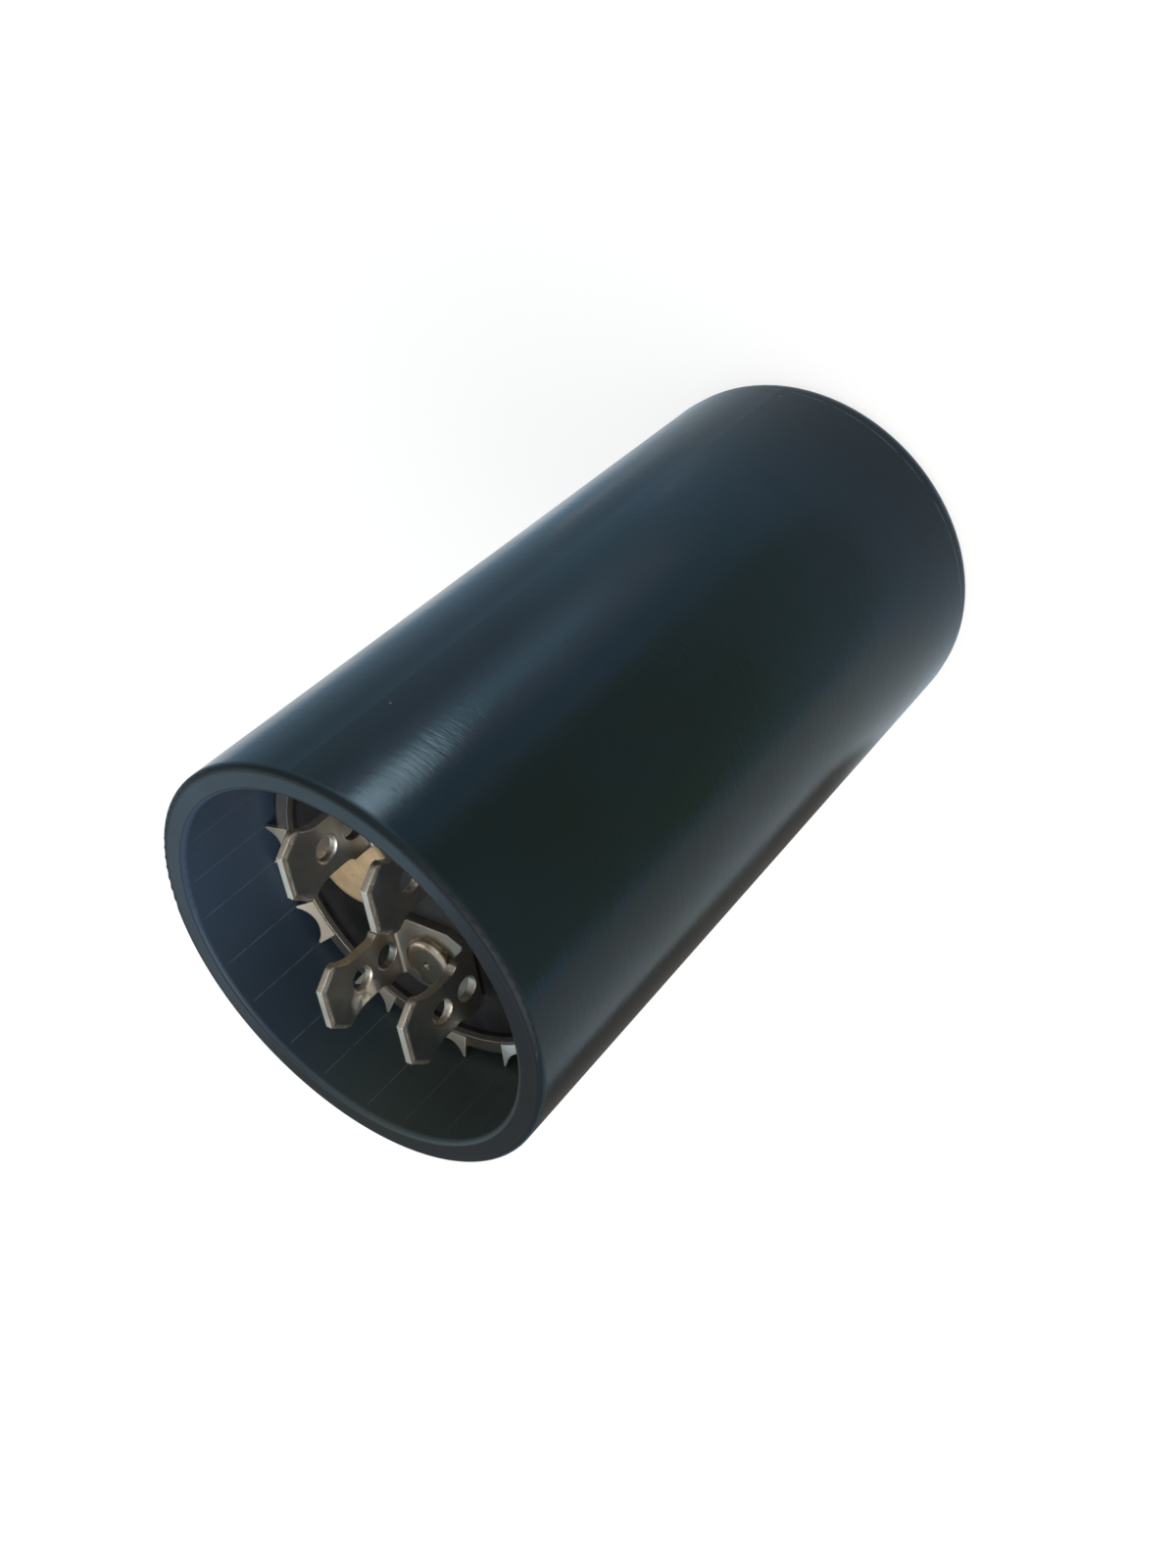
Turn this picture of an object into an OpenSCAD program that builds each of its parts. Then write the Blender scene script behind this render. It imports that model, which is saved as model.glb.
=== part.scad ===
// Motor start capacitor: a moulded case, closed at one end, with folded quick-connect terminals in its mouth.
// The axis is Z. The closed end stands on Z = 0 and the mouth faces up. The terminals lie along X.

/* [Case] */
// Outside diameter of the case
case_d = 36.5; // [35.5:0.1:42]
// Height of the case from its closed end to the rim
case_h = 70; // [55:0.5:90]
// Wall of the mouth, above the ledge
mouth_wall = 2.2; // [1.6:0.1:2.6]
// Width of the ledge that carries the gasket
ledge_w = 1.1; // [0.8:0.1:1.6]
// Thickness of the closed end
floor_t = 2.6; // [2:0.1:4]
// Rounding of the corner inside the closed end
floor_round = 1; // [0.4:0.1:1.4]
// Rounding of the closed end's outer edge
base_round = 1.6; // [0.8:0.1:2]
// Height of the mould's witness line above the closed end
witness_h = 2.4; // [2.2:0.1:4]
// Step in the radius at the witness line
witness_step = 0.1; // [0.05:0.01:0.2]
// Rounding of the rim's outer edge
rim_round = 0.4; // [0.2:0.05:0.7]
// Rounding of the rim's inner edge
mouth_round = 0.45; // [0.2:0.05:0.7]

/* [End disc] */
// Depth of the end disc's face below the rim
recess_depth = 10.25; // [9.8:0.05:14]
// Thickness of the end disc
disc_t = 3; // [2:0.1:4]
// Height of the end disc's raised edge, which carries the ring
disc_rim_h = 0.45; // [0.2:0.05:0.8]
// Distance from that edge's inner side to the ring's hole
disc_rim_in = 0.3; // [0.1:0.05:0.6]
// Bevel on the end disc's upper edge
disc_bevel = 0.3; // [0.1:0.05:0.5]
// Gap between the end disc and the mouth's wall
disc_gap = 0.1; // [0.05:0.05:0.2]
// Thickness of the gasket
gasket_t = 1.5; // [1:0.1:2.5]
// Width of the gasket, from its rim to its hole
gasket_w = 2.4; // [1.8:0.1:3.2]

/* [Vent plug] */
// Place of the plug along the line of the terminals
plug_x = 0.6; // [-1:0.1:1]
// Place of the plug across that line
plug_y = 7.8; // [7.5:0.1:8.4]
// Diameter of the plug's head
plug_head_d = 8.6; // [6:0.1:8.8]
// Depth of the head's seat in the end disc
plug_seat = 0.6; // [0.4:0.1:1]
// Height of the head above the end disc
plug_proud = 0.2; // [0.1:0.05:0.5]
// Rounding of the head's edge
plug_round = 0.15; // [0.1:0.05:0.3]
// Diameter of the plug's stem
plug_stem_d = 4.6; // [3:0.1:5.5]
// Length of the stem below the end disc
plug_tail = 0.8; // [0.4:0.1:1.5]
// Gap between the plug and its seat
plug_gap = 0.05; // [0.02:0.01:0.1]

/* [Retaining ring] */
// Thickness of the ring's sheet
ring_t = 0.35; // [0.25:0.05:0.5]
// Width of the ring's flat band
band_w = 1.2; // [0.9:0.05:1.6]
// Distance from the band's outer edge to the prongs' points, seen from above
prong_len = 0.85; // [0.6:0.05:1.1]
// Flat strip beside the ring's hole, where the prongs start to rise
hem_w = 0.3; // [0.2:0.05:0.5]
// Rise of the prongs' points above the band
prong_rise = 0.7; // [0.3:0.05:0.9]
// Number of prongs
prong_count = 12; // [8:1:14]
// Angle between the two points of a prong
prong_angle = 14; // [10:0.5:16]
// Depth of the hollow between a prong's two points
prong_hollow = 1.1; // [0.8:0.05:1.3]
// Width of each point
prong_point = 0.15; // [0.1:0.05:0.3]
// Turn of the ring from the line of the terminals
ring_turn = -2; // [-15:0.5:15]
// Gap between the points and the mouth's wall
point_gap = 0.03; // [0.01:0.01:0.1]

/* [Terminals] */
// Distance between the centres of the two terminals
terminal_pitch = 13.2; // [12.9:0.1:14]
// Shift of both terminals along their line, from the case's axis
terminal_shift_x = 0.25; // [0:0.05:0.4]
// Shift of both terminals towards the vent plug
terminal_shift_y = 0.35; // [0:0.05:0.5]
// Thickness of the terminals' sheet
tab_t = 0.8; // [0.6:0.05:1]
// Width of a tab
tab_w = 6.35; // [5.6:0.05:6.8]
// Height of a tab's tip above the base plate
tab_h = 8.6; // [8:0.1:9]
// Gap between the two tabs of a terminal
tab_gap = 7.5; // [7:0.1:8.4]
// Width of a tab's straight tip
tip_w = 3.76; // [3:0.02:4.6]
// Height of the corners cut off beside the tip
tip_cut = 1.5; // [0.8:0.1:1.8]
// Depth of the bevel that coining leaves on each side of the tip
coin_t = 0.14; // [0.05:0.01:0.2]
// Length of that bevel
coin_h = 0.5; // [0.3:0.05:0.8]
// Rounding of a tab's shoulders
shoulder_round = 0.7; // [0.4:0.05:0.9]
// Distance from the tip to where the waist ends in the neck
waist_drop = 4.1; // [3.6:0.1:4.6]
// Width of the neck
neck_w = 4.7; // [4.2:0.1:5]
// Width of a tab's root, at the fold
root_w = 5.6; // [5.2:0.1:6]
// Radius of the curve from the neck to the root
root_r = 1; // [0.8:0.1:1.4]
// Height of the straight root above the base plate
root_h = 2; // [1.6:0.1:2.4]
// Inside radius of the folds
fold_r = 0.4; // [0.2:0.05:0.6]
// Width of the base plate
plate_w = 7; // [6.6:0.1:7.4]
// Length of the base plate's cut corners
plate_corner = 1.3; // [0.8:0.1:1.6]
// Diameter of the detent hole in a tab
detent_d = 2; // [1.6:0.1:2.2]
// Distance from the tip to the detent hole
detent_drop = 4.2; // [3.6:0.1:4.6]
// Diameter of the detent hole's countersink
detent_sink_d = 2.3; // [2.25:0.05:2.6]
// Depth of the countersink
detent_sink = 0.15; // [0.1:0.05:0.25]
// Diameter of the hole above a fold
relief_d = 2.2; // [1.6:0.1:2.4]
// Height of that hole's centre above the base plate
relief_h = 1.4; // [1.3:0.1:1.6]

/* [Rivets] */
// Diameter of the rivets' heads
rivet_head_d = 4.8; // [4:0.1:5.4]
// Height of the heads
rivet_head_h = 0.8; // [0.5:0.1:1.2]
// Rounding of the heads' edges
rivet_head_round = 0.5; // [0.2:0.1:0.5]
// Diameter of the dimple in a head
rivet_dimple_d = 0.7; // [0.4:0.1:1]
// Depth of that dimple
rivet_dimple = 0.25; // [0.1:0.05:0.35]
// Diameter of the shanks
rivet_shank_d = 3; // [2.4:0.1:3.4]
// Diameter of the clinched tails
rivet_tail_d = 4.4; // [4:0.1:5]
// Height of the tails
rivet_tail_h = 0.8; // [0.5:0.1:1.2]
// Rounding of the tails' edges
rivet_tail_round = 0.3; // [0.1:0.1:0.4]
// Gap between a shank and its holes
shank_gap = 0.05; // [0.02:0.01:0.1]
// Diameter of the washers under the end disc
washer_d = 6.6; // [5.4:0.1:7]
// Thickness of those washers
washer_t = 0.6; // [0.4:0.1:1]

/* [Winding] */
// Height from the top insulator to the end disc's underside
headroom = 4.8; // [4:0.1:8]
// Gap between the wrapped element and the case
element_gap = 0.3; // [0.2:0.05:0.6]
// Thickness of the paper wrap
wrap_t = 0.4; // [0.2:0.05:0.8]
// Diameter of the hole that the winding pin leaves
core_d = 4; // [3:0.1:5]
// Thickness of the top insulator
insulator_t = 0.5; // [0.3:0.1:1]
// Thickness of the pad under the element
pad_t = 1; // [0.5:0.1:2]
// Width of the lead strips
lead_w = 5; // [4.6:0.1:5.4]
// Thickness of the lead strips
lead_t = 0.3; // [0.2:0.05:0.4]
// Inside radius of the lead strips' bends
lead_bend = 0.5; // [0.3:0.1:0.8]
// Distance from a washer's edge to the lead strip's leg
lead_reach = 0.4; // [0.2:0.1:0.8]
// Gap between a lead strip and its slot in the insulator
slot_gap = 0.2; // [0.1:0.05:0.4]

/* [Hidden] */
$fn = 96;

// A cut runs this far past the faces that it opens
past = 1;

case_r = case_d / 2;
mouth_r = case_r - mouth_wall;
bore_r = mouth_r - ledge_w;

disc_top = case_h - recess_depth;
disc_bottom = disc_top - disc_t;
disc_r = mouth_r - disc_gap;
ledge_z = disc_bottom - gasket_t;

ring_z = disc_top + disc_rim_h;
ring_r = mouth_r - point_gap;
band_outer_r = ring_r - prong_len;
band_inner_r = band_outer_r - band_w;
hem_r = band_inner_r + hem_w;
disc_edge_t = disc_t + disc_rim_h;
disc_rim_r = band_inner_r - disc_rim_in;
prong_tilt = atan2(prong_rise, ring_r - hem_r);
point_half = ring_r * sin(prong_angle / 2) - prong_point;
point_reach = ring_r * cos(prong_angle / 2);
hollow_root = ring_r - prong_hollow;
hollow_depth = point_reach - hollow_root;
hollow_r = (point_half * point_half + hollow_depth * hollow_depth) / (2 * hollow_depth);

terminal_x = terminal_pitch / 2;
plate_top = disc_top + tab_t;
tip_z = tab_t + tab_h;
corner_w = (tab_w - tip_w) / 2;
corner_turn = atan2(tip_cut, corner_w);
shoulder_z = tip_z - tip_cut - shoulder_round * tan(45 - corner_turn / 2);
waist_z = tip_z - waist_drop;
waist_in = (tab_w - neck_w) / 2;
waist_up = shoulder_z - waist_z;
waist_r = (waist_in * waist_in + waist_up * waist_up) / (2 * waist_in) - shoulder_round;
waist_turn = asin(waist_up / (waist_r + shoulder_round));
root_in = (root_w - neck_w) / 2;
root_z = tab_t + root_h;
neck_z = root_z + sqrt(2 * root_r * root_in - root_in * root_in);
fold_half = tab_gap / 2;
plate_neck_y = fold_half - fold_r;

shank_hole_r = rivet_shank_d / 2 + shank_gap;
washer_z = disc_bottom - washer_t;
lug_z = washer_z - lead_t;

pad_top = floor_t + pad_t;
insulator_z = disc_bottom - headroom - insulator_t;
wrap_r = bore_r - element_gap;
element_r = wrap_r - wrap_t;
element_h = insulator_z - pad_top;
lug_in = rivet_tail_d / 2;
leg_x = washer_d / 2 + lead_reach;

// A quarter of a circle, on the right of its centre and above it
module quarter(r) {
    intersection() {
        circle(r);
        square(r);
    }
}

// Half section of a turned block whose upper outer edge is rounded
module round_top(r, h, edge) {
    square([r - edge, h]);
    square([r, h - edge]);
    translate([r - edge, h - edge]) quarter(edge);
}

// Half section of a turned block whose lower outer edge is rounded
module round_bottom(r, h, edge) {
    square([r - edge, h]);
    translate([0, edge]) square([r, h - edge]);
    translate([r - edge, edge]) mirror([0, 1]) quarter(edge);
}

// What a round of this radius takes off an inner edge that meets a flat rim
module inner_round(edge) {
    difference() {
        square([edge, edge + past]);
        translate([edge, 0]) circle(edge);
        translate([edge, 0]) square([edge, edge + past]);
    }
}

// Half section of the cup's outside, with the step at the witness line
module case_outline() {
    round_bottom(case_r - witness_step, witness_h, base_round);
    translate([0, witness_h]) round_top(case_r, case_h - witness_h, rim_round);
}

// Half section of the cup's inside, with the ledge and the rounded lip
module case_hollow() {
    translate([0, floor_t]) round_bottom(bore_r, ledge_z - floor_t + past, floor_round);
    translate([0, ledge_z]) square([mouth_r, recess_depth + disc_t + gasket_t + past]);
    translate([mouth_r, case_h - mouth_round]) inner_round(mouth_round);
}

module case() {
    color([0.07, 0.09, 0.11])
        rotate_extrude() difference() {
            case_outline();
            case_hollow();
        }
}

// Both terminals' places: the right one as drawn, the left one turned half round
module on_side(side) {
    translate([terminal_shift_x, terminal_shift_y, 0])
        rotate([0, 0, side > 0 ? 0 : 180]) translate([terminal_x, 0, 0]) children();
}

module shank_holes() {
    for (side = [-1, 1]) on_side(side) cylinder(r = shank_hole_r, h = case_h);
}

module end_disc() {
    color([0.10, 0.11, 0.12])
        difference() {
            translate([0, 0, disc_bottom]) rotate_extrude() polygon([
                [0, 0],
                [disc_r, 0],
                [disc_r, disc_edge_t - disc_bevel],
                [disc_r - disc_bevel, disc_edge_t],
                [disc_rim_r, disc_edge_t],
                [disc_rim_r, disc_t],
                [0, disc_t]
            ]);
            shank_holes();
            translate([plug_x, plug_y, disc_top - plug_seat])
                cylinder(d = plug_head_d + 2 * plug_gap, h = plug_seat + past);
            translate([plug_x, plug_y, disc_bottom - past])
                cylinder(d = plug_stem_d + 2 * plug_gap, h = disc_t + past);
        }
}

module seal_gasket() {
    color([0.16, 0.16, 0.17])
        translate([0, 0, ledge_z]) difference() {
            cylinder(r = disc_r, h = gasket_t);
            translate([0, 0, -past]) cylinder(r = disc_r - gasket_w, h = gasket_t + 2 * past);
        }
}

module vent_plug() {
    color([0.62, 0.53, 0.41])
        translate([plug_x, plug_y, disc_top - plug_seat]) rotate_extrude() {
            round_top(plug_head_d / 2, plug_seat + plug_proud, plug_round);
            translate([0, plug_seat - disc_t - plug_tail])
                square([plug_stem_d / 2, disc_t + plug_tail]);
        }
}

// Half section of the prongs: a flat hem beside the ring's hole, then the sheet rises to the wall
module prong_section() {
    lift_x = ring_t * sin(prong_tilt);
    lift_z = ring_t * cos(prong_tilt);
    fold_x = ring_t * tan(prong_tilt / 2);
    polygon([
        [band_inner_r, 0],
        [hem_r, 0],
        [ring_r, prong_rise],
        [ring_r - lift_x, prong_rise + lift_z],
        [hem_r - fold_x, ring_t],
        [band_inner_r, ring_t]
    ]);
}

// Wedge that spans a prong's two points
module prong_wedge() {
    far = ring_r + past;
    half = prong_angle / 2;
    polygon([[0, 0], [far * cos(half), -far * sin(half)], [far * cos(half), far * sin(half)]]);
}

module each_prong() {
    for (i = [0 : prong_count - 1]) rotate(i * 360 / prong_count) children();
}

// The flat band, left out where the prongs rise
module ring_band() {
    linear_extrude(height = ring_t) difference() {
        circle(band_outer_r);
        circle(band_inner_r);
        each_prong() prong_wedge();
    }
}

// The prongs: radial sides, and hollow ends that leave two points each
module ring_prongs() {
    intersection() {
        rotate_extrude() prong_section();
        linear_extrude(height = ring_t + prong_rise + past) each_prong() difference() {
            prong_wedge();
            translate([hollow_root + hollow_r, 0]) circle(hollow_r);
        }
    }
}

module retaining_ring() {
    color([0.72, 0.71, 0.68])
        translate([0, 0, ring_z]) rotate([0, 0, ring_turn]) {
            ring_band();
            ring_prongs();
        }
}

// Section of an upright channel with rounded lower corners
module channel_section(half, corner) {
    translate([-half, corner]) square([2 * half, tip_z]);
    translate([-half + corner, 0]) square([2 * (half - corner), tip_z]);
    for (s = [-1, 1]) translate([s * (half - corner), corner]) circle(corner);
}

// The strip folded into a U, as wide as the base plate all the way up
module folded_strip() {
    rotate([90, 0, 90]) linear_extrude(height = plate_w, center = true) difference() {
        channel_section(fold_half + tab_t, fold_r + tab_t);
        translate([0, tab_t]) channel_section(fold_half, fold_r);
    }
}

// Right half of a tab from the front: a cut corner, a round shoulder, a waist and a root
module half_tab() {
    shoulder = [tab_w / 2 - shoulder_round, shoulder_z];
    under = shoulder_round * [cos(waist_turn), -sin(waist_turn)];
    over = shoulder_round * [sin(corner_turn), cos(corner_turn)];
    difference() {
        union() {
            polygon([
                [0, 0],
                [root_w / 2, 0],
                [root_w / 2, root_z],
                [neck_w / 2, neck_z],
                [neck_w / 2, waist_z],
                shoulder + under,
                shoulder + over,
                [tip_w / 2, tip_z],
                [0, tip_z]
            ]);
            translate(shoulder) circle(shoulder_round);
        }
        translate([neck_w / 2 + waist_r, waist_z]) circle(waist_r);
        translate([neck_w / 2 + root_r, neck_z]) circle(root_r);
    }
}

module tab_outline() {
    half_tab();
    mirror([1, 0]) half_tab();
}

// Outline of the base plate from above, with its corners cut back to the tabs' roots
module plate_outline() {
    flat_y = plate_neck_y - plate_corner;
    polygon([
        [plate_w / 2, -flat_y],
        [plate_w / 2, flat_y],
        [root_w / 2, plate_neck_y],
        [-root_w / 2, plate_neck_y],
        [-plate_w / 2, flat_y],
        [-plate_w / 2, -flat_y],
        [-root_w / 2, -plate_neck_y],
        [root_w / 2, -plate_neck_y]
    ]);
}

// What coining takes off both sides of a sheet whose edge lies along X, with the sheet below it
module coin_wedges() {
    reach = coin_t * (coin_h + past) / coin_h;
    for (s = [0, 1]) mirror([0, s, 0]) translate([0, tab_t / 2, 0]) rotate([90, 0, 90])
        linear_extrude(height = tab_w, center = true) polygon([
            [0, -coin_h],
            [past, -coin_h],
            [past, past],
            [-reach, past]
        ]);
}

// The coined bevels along a terminal's tips and the cut corners beside them
module coined_tips() {
    for (s = [-1, 1]) translate([0, s * (fold_half + tab_t / 2), tip_z]) {
        coin_wedges();
        for (side = [-1, 1]) translate([side * (tip_w + corner_w) / 2, 0, -tip_cut / 2])
            rotate([0, side * corner_turn, 0]) coin_wedges();
    }
}

// Detent holes through both tabs, countersunk on both faces of each
module detent_holes() {
    depth = fold_half + tab_t;
    translate([0, 0, tip_z - detent_drop]) for (turn = [-90, 90]) rotate([turn, 0, 0]) {
        cylinder(d = detent_d, h = depth + past);
        translate([0, 0, fold_half]) cylinder(d1 = detent_sink_d, d2 = detent_d, h = detent_sink);
        translate([0, 0, depth - detent_sink])
            cylinder(d1 = detent_d, d2 = detent_sink_d, h = detent_sink);
    }
}

module relief_holes() {
    translate([0, 0, tab_t + relief_h]) rotate([90, 0, 0])
        cylinder(d = relief_d, h = 2 * (fold_half + tab_t + past), center = true);
}

module terminal() {
    translate([0, 0, disc_top]) difference() {
        intersection() {
            folded_strip();
            union() {
                rotate([90, 0, 0])
                    linear_extrude(height = 2 * (fold_half + tab_t + past), center = true)
                        tab_outline();
                linear_extrude(height = tab_t) plate_outline();
            }
        }
        coined_tips();
        detent_holes();
        relief_holes();
        translate([0, 0, -past]) cylinder(r = shank_hole_r, h = tab_t + 2 * past);
    }
}

module terminal_left() {
    color([0.70, 0.68, 0.63]) on_side(-1) terminal();
}

module terminal_right() {
    color([0.70, 0.68, 0.63]) on_side(1) terminal();
}

// Half section of a rivet, from the clinched tail under the lead strip to the head on the base plate
module rivet_section() {
    difference() {
        union() {
            translate([0, lug_z - rivet_tail_h])
                round_bottom(rivet_tail_d / 2, rivet_tail_h, rivet_tail_round);
            translate([0, lug_z]) square([rivet_shank_d / 2, plate_top - lug_z]);
            translate([0, plate_top]) round_top(rivet_head_d / 2, rivet_head_h, rivet_head_round);
        }
        translate([0, plate_top + rivet_head_h]) polygon([
            [0, -rivet_dimple],
            [rivet_dimple_d / 2, 0],
            [0, 0]
        ]);
    }
}

module rivet() {
    rotate_extrude() rivet_section();
}

module rivet_left() {
    color([0.58, 0.57, 0.54]) on_side(-1) rivet();
}

module rivet_right() {
    color([0.58, 0.57, 0.54]) on_side(1) rivet();
}

module rivet_washer() {
    translate([0, 0, washer_z]) difference() {
        cylinder(d = washer_d, h = washer_t);
        translate([0, 0, -past]) cylinder(r = shank_hole_r, h = washer_t + 2 * past);
    }
}

module rivet_washer_left() {
    color([0.62, 0.62, 0.62]) on_side(-1) rivet_washer();
}

module rivet_washer_right() {
    color([0.62, 0.62, 0.62]) on_side(1) rivet_washer();
}

// Section of the strip's outer or inner face: a block whose upper outer corner is rounded
module strip_block(reach, drop, corner) {
    translate([-lug_in, -drop]) square([lug_in + reach - corner, drop]);
    translate([-lug_in, -drop]) square([lug_in + reach, drop - corner]);
    translate([reach - corner, -corner]) circle(corner);
}

// A strip that lies under the washer and bends down to the top of the element
module lead_tab() {
    drop = washer_z - insulator_z;
    translate([0, 0, washer_z]) difference() {
        rotate([90, 0, 0]) linear_extrude(height = lead_w, center = true) difference() {
            strip_block(leg_x + lead_t, drop, lead_bend + lead_t);
            translate([-past, -lead_t]) strip_block(leg_x + past, drop, lead_bend);
        }
        translate([0, 0, -lead_t - past]) cylinder(r = shank_hole_r, h = lead_t + 2 * past);
    }
}

module lead_tab_left() {
    color([0.80, 0.81, 0.82]) on_side(-1) lead_tab();
}

module lead_tab_right() {
    color([0.80, 0.81, 0.82]) on_side(1) lead_tab();
}

module wound_element() {
    color([0.66, 0.58, 0.44])
        translate([0, 0, pad_top]) difference() {
            cylinder(r = element_r, h = element_h);
            translate([0, 0, -past]) cylinder(d = core_d, h = element_h + 2 * past);
        }
}

module element_wrap() {
    color([0.76, 0.68, 0.52])
        translate([0, 0, pad_top]) difference() {
            cylinder(r = wrap_r, h = element_h);
            translate([0, 0, -past]) cylinder(r = element_r, h = element_h + 2 * past);
        }
}

module top_insulator() {
    slot_in = leg_x - slot_gap;
    color([0.72, 0.62, 0.46])
        translate([0, 0, insulator_z]) difference() {
            cylinder(r = wrap_r, h = insulator_t);
            for (side = [-1, 1]) on_side(side)
                translate([slot_in, -lead_w / 2 - slot_gap, -past])
                    cube([lead_t + 2 * slot_gap, lead_w + 2 * slot_gap, insulator_t + 2 * past]);
        }
}

module base_pad() {
    color([0.72, 0.62, 0.46])
        translate([0, 0, floor_t]) cylinder(r = bore_r - floor_round, h = pad_t);
}

case();
end_disc();
seal_gasket();
vent_plug();
retaining_ring();
terminal_left();
terminal_right();
rivet_left();
rivet_right();
rivet_washer_left();
rivet_washer_right();
lead_tab_left();
lead_tab_right();
wound_element();
element_wrap();
top_insulator();
base_pad();
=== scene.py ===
"""Finishes and stage for a motor start capacitor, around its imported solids."""

import math
from typing import NamedTuple

import bmesh
import bpy
from bpy.props import FloatProperty, FloatVectorProperty, PointerProperty
from mathutils import Matrix, Quaternion, Vector


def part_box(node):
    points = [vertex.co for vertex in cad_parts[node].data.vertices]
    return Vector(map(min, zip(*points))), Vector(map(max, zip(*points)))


bl_info = {
    "name": "Motor start capacitor",
    "version": (1, 0, 0),
    "blender": (4, 5, 0),
    "location": "View3D > Sidebar > Capacitor",
    "description": "Finishes for the capacitor's pieces, and a stage to show it on",
    "category": "Object",
}

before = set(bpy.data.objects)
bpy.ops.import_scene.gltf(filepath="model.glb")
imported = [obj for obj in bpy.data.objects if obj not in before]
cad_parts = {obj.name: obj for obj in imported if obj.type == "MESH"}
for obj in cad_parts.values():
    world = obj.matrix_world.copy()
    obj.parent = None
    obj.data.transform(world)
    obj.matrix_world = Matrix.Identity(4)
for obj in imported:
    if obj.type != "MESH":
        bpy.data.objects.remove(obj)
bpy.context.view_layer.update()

# Sizes and places are in millimetres of the shared frame, and properties in Blender's own units
MM = 0.001


def corners(name):
    """A node's lowest and highest corner."""
    return [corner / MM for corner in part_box(name)]


def middle(name):
    """The middle of a node's box."""
    return sum(corners(name), Vector()) / 2


# The case, and the mouth that the ring's points touch
RIM_Z = corners("case")[1].z
CASE_R = corners("case")[1].x
RING_Z = corners("retaining_ring")[0].z
POINTS_Z = corners("retaining_ring")[1].z
MOUTH_R = corners("retaining_ring")[1].x
WITNESS_Z = 2.43

# The terminals: their base plates, the tips of their tabs and their sheet
PLATE_Z = corners("terminal_right")[0].z
TIP_Z = corners("terminal_right")[1].z
FRONT_TAB_Y = corners("terminal_right")[0].y
BACK_TAB_Y = corners("terminal_right")[1].y
SHEET = 0.8

# The vent plug and the rivets' heads
PLUG_MID = middle("vent_plug")
PLUG_R = corners("vent_plug")[1].x - PLUG_MID.x
RIVET_MIDS = (middle("rivet_left"), middle("rivet_right"))
HEAD_R = corners("rivet_right")[1].x - RIVET_MIDS[1].x

WHITE = (1.0, 1.0, 1.0)


class Wire:
    """An output socket. Sums and products of wires and numbers add Math nodes."""

    def __init__(self, finish, socket):
        self.finish = finish
        self.socket = socket

    def output(self, key):
        """Another output of the same node."""
        return Wire(self.finish, self.socket.node.outputs[key])

    def math(self, operation, *values):
        inputs = dict(enumerate(values))
        return self.finish.node("ShaderNodeMath", {"operation": operation}, inputs)

    def __add__(self, other):
        return self.math("ADD", self, other)

    def __sub__(self, other):
        return self.math("SUBTRACT", self, other)

    def __rsub__(self, other):
        return self.math("SUBTRACT", other, self)

    def __mul__(self, other):
        return self.math("MULTIPLY", self, other)

    def __truediv__(self, other):
        return self.math("DIVIDE", self, other)

    def __pow__(self, other):
        return self.math("POWER", self, other)

    __radd__ = __add__
    __rmul__ = __mul__

    def size(self):
        """The value without its sign."""
        return self.math("ABSOLUTE", self)

    def larger(self, other):
        return self.math("MAXIMUM", self, other)

    def smaller(self, other):
        return self.math("MINIMUM", self, other)

    def angle(self, other):
        """The angle, in degrees, of a direction with this value across and the other along."""
        return self.math("ARCTAN2", self, other) * math.degrees(1)

    def wrapped(self, span):
        """The rest after division by span, from 0 up to span."""
        return self.math("FLOORED_MODULO", self, span)

    def step(self, start, end):
        """0 at start, 1 at end, and eased between them. Start may lie above end."""
        settings = {"interpolation_type": "SMOOTHSTEP", "clamp": True}
        inputs = {"Value": self, "From Min": min(start, end), "From Max": max(start, end)}
        eased = self.finish.node("ShaderNodeMapRange", settings, inputs)
        return eased if start < end else 1 - eased

    def near(self, place, half, edge):
        """1 within half of place, 0 beyond half plus edge."""
        return (self - place).size().step(half + edge, half)


def length(across, along):
    """Length of a line from its runs along two axes."""
    return (across * across + along * along) ** 0.5


def tinted(colour, red, green, blue):
    """A colour with its three channels multiplied."""
    return [channel * factor for channel, factor in zip(colour, (red, green, blue))]


def opaque(colour):
    """A colour as a socket takes it: a wire as it is, or three numbers and full alpha."""
    return colour if isinstance(colour, Wire) else (*colour[:3], 1.0)


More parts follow.
